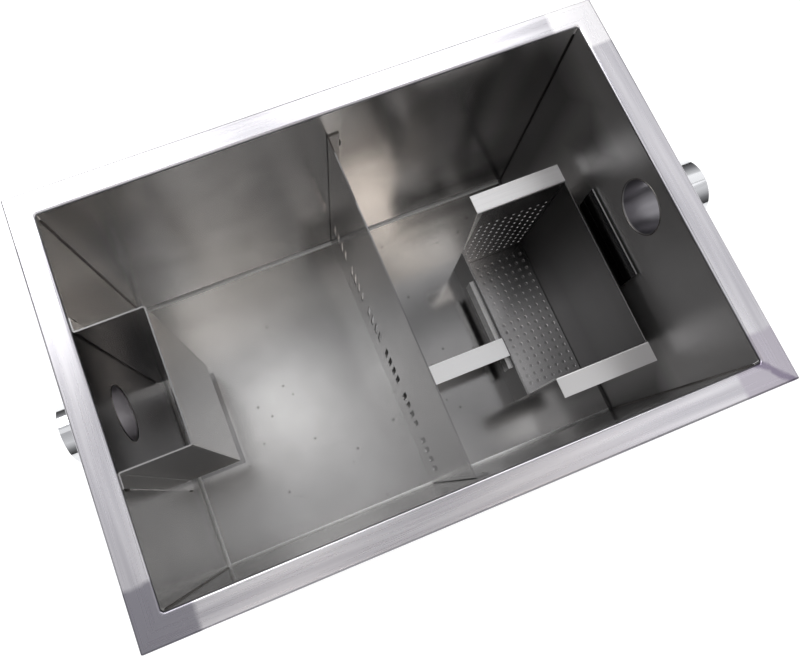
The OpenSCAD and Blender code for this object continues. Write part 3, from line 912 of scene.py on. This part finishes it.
# %% [markdown]
# Round each pipe opening the tube's weld has sunk through the wall and stands a little proud as a thin ring.
# Its section is half a circle that is spun once round the pipe's axis, which is simpler than bending a tube.

# %% Spin the root rings
ROOT_RADIUS = 0.6 * MM
ROOT_POINTS = 6
ROOT_STEPS = 72
MERGE = 0.001 * MM


def add_ring(shape, end_x, centre_z, inward):
    """Add a half-round ring on an end wall's inside face, round a pipe opening."""
    middle_z = centre_z + tube_bore / 2 + ROOT_RADIUS
    arc = []
    for i in range(ROOT_POINTS):
        turn = math.pi * i / (ROOT_POINTS - 1)
        out = ROOT_RADIUS * math.sin(turn) * inward
        arc.append(shape.verts.new((end_x + out, 0, middle_z + ROOT_RADIUS * math.cos(turn))))
    edges = [shape.edges.new(pair) for pair in zip(arc, arc[1:])]
    bmesh.ops.spin(shape, geom=arc + edges, cent=(end_x, 0, centre_z), axis=(1, 0, 0),
                   angle=2 * math.pi, steps=ROOT_STEPS, use_merge=True)


before = len(shape.faces)
add_ring(shape, half_inside.x, inlet_z, -1)
add_ring(shape, -half_inside.x, outlet_z, 1)
bmesh.ops.remove_doubles(shape, verts=shape.verts, dist=MERGE)
bmesh.ops.recalc_face_normals(shape, faces=shape.faces)
for face in shape.faces:
    face.smooth = True

welds = bpy.data.objects.new("weld_seams", bpy.data.meshes.new("weld_seams"))
shape.to_mesh(welds.data)
print(f"{len(shape.faces) - before} faces in the root rings")
shape.free()
bpy.context.scene.collection.objects.link(welds)
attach(welds, "root")

# %% [markdown]
# A weld in stainless steel is left grey-brown by the heat until it is pickled, and its ripples are too rough
# to mirror. The seam in the back corner of the inlet end is a dark joint painted darker still, as painted
# shade in that corner.

# %% Heat-tinted weld metal
TINT_SIZE = 8.333 * MM
WELD_ROUGHNESS = 0.42
SEAM_REACH = 5 * MM

material, tree = new_material("heat_tinted_weld")
place = add(tree, "ShaderNodeTexCoord").outputs["Object"]
tint = add(tree, "ShaderNodeTexNoise",
           {"Vector": place, "Scale": 1 / TINT_SIZE, "Detail": 2.0}).outputs["Fac"]
colour = add(tree, "ShaderNodeMix", {0: tint, 6: linear("716d6a"), 7: linear("8f8b88")},
             data_type="RGBA").outputs[2]
# Painted shade on the seam in the back corner of the inlet end.
dark_seam = ((half_inside.x - SEAM_REACH, half_inside.y - SEAM_REACH, -FAR), (FAR, FAR, FAR))
colour = shade(tree, place, colour, [(*dark_seam, "2e2c2a", SHARP)])
steel = add(tree, "ShaderNodeBsdfPrincipled",
            {"Base Color": colour, "Metallic": 1.0, "Roughness": WELD_ROUGHNESS})
add(tree, "ShaderNodeOutputMaterial", {"Surface": steel.outputs[0]})
welds.data.materials.append(material)
print("welds in", material.name)

# %% [markdown]
# ## Ground corners
# Where the four sides of the rim meet, the weld was ground into a small round, and the rim's bend runs on
# round the corner. A spin could make the round, but not its square outer edge. So each round is a grid: one
# way it turns through a quarter circle, the other way it climbs the wall, follows the bend and ends flat in
# the rim's corner.

# %% Section of a ground corner
GROUND_RADIUS = 3.5 * MM
GROUND_RISE = 11 * MM
BEND_RADIUS = 2.5 * MM
PROUD = 0.06 * MM
TURN_STEPS = 12
WALL_STEPS = 5
BEND_STEPS = 8


def corner_section():
    """Radius, way out and height of each row of a ground corner, from the wall up to the rim."""
    rows = []
    for i in range(WALL_STEPS):
        up = i / WALL_STEPS
        radius = CORNER_LEG + up * (GROUND_RADIUS - CORNER_LEG)
        rows.append((radius, 0.0, (up - 1) * GROUND_RISE - BEND_RADIUS))
    for i in range(BEND_STEPS + 1):
        turn = math.pi / 2 * i / BEND_STEPS
        rows.append((GROUND_RADIUS, BEND_RADIUS * (1 - math.cos(turn)), BEND_RADIUS * (math.sin(turn) - 1)))
    return rows


def corner_point(side_x, side_y, turn, radius, out, rise, square):
    """A point of a ground corner; square pushes it out to the corner of a square."""
    reach = radius + out
    if square:
        reach = reach / max(math.cos(turn), math.sin(turn))
    return (side_x * (half_inside.x - radius + reach * math.cos(turn)),
            side_y * (half_inside.y - radius + reach * math.sin(turn)), rim_top + rise + PROUD)


section = corner_section()
print(len(section), "rows in the section of a ground corner")

# %% Fill the rim's inner corners
shape = bmesh.new()
for side_x in (-1, 1):
    for side_y in (-1, 1):
        grid = bmesh.ops.create_grid(shape, x_segments=TURN_STEPS, y_segments=len(section), size=0.5)["verts"]
        for vert in grid:
            turn = (vert.co.x + 0.5) * math.pi / 2
            row = round((vert.co.y + 0.5) * len(section))
            radius, out, rise = section[min(row, len(section) - 1)]
            vert.co = corner_point(side_x, side_y, turn, radius, out, rise, row == len(section))
bmesh.ops.recalc_face_normals(shape, faces=shape.faces)
for face in shape.faces:
    face.smooth = True
corners = bpy.data.objects.new("ground_corners", bpy.data.meshes.new("ground_corners"))
shape.to_mesh(corners.data)
print(len(shape.faces), "faces in four ground corners")
shape.free()
bpy.context.scene.collection.objects.link(corners)
corners.data.materials.append(satin_rim)
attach(corners, "root")
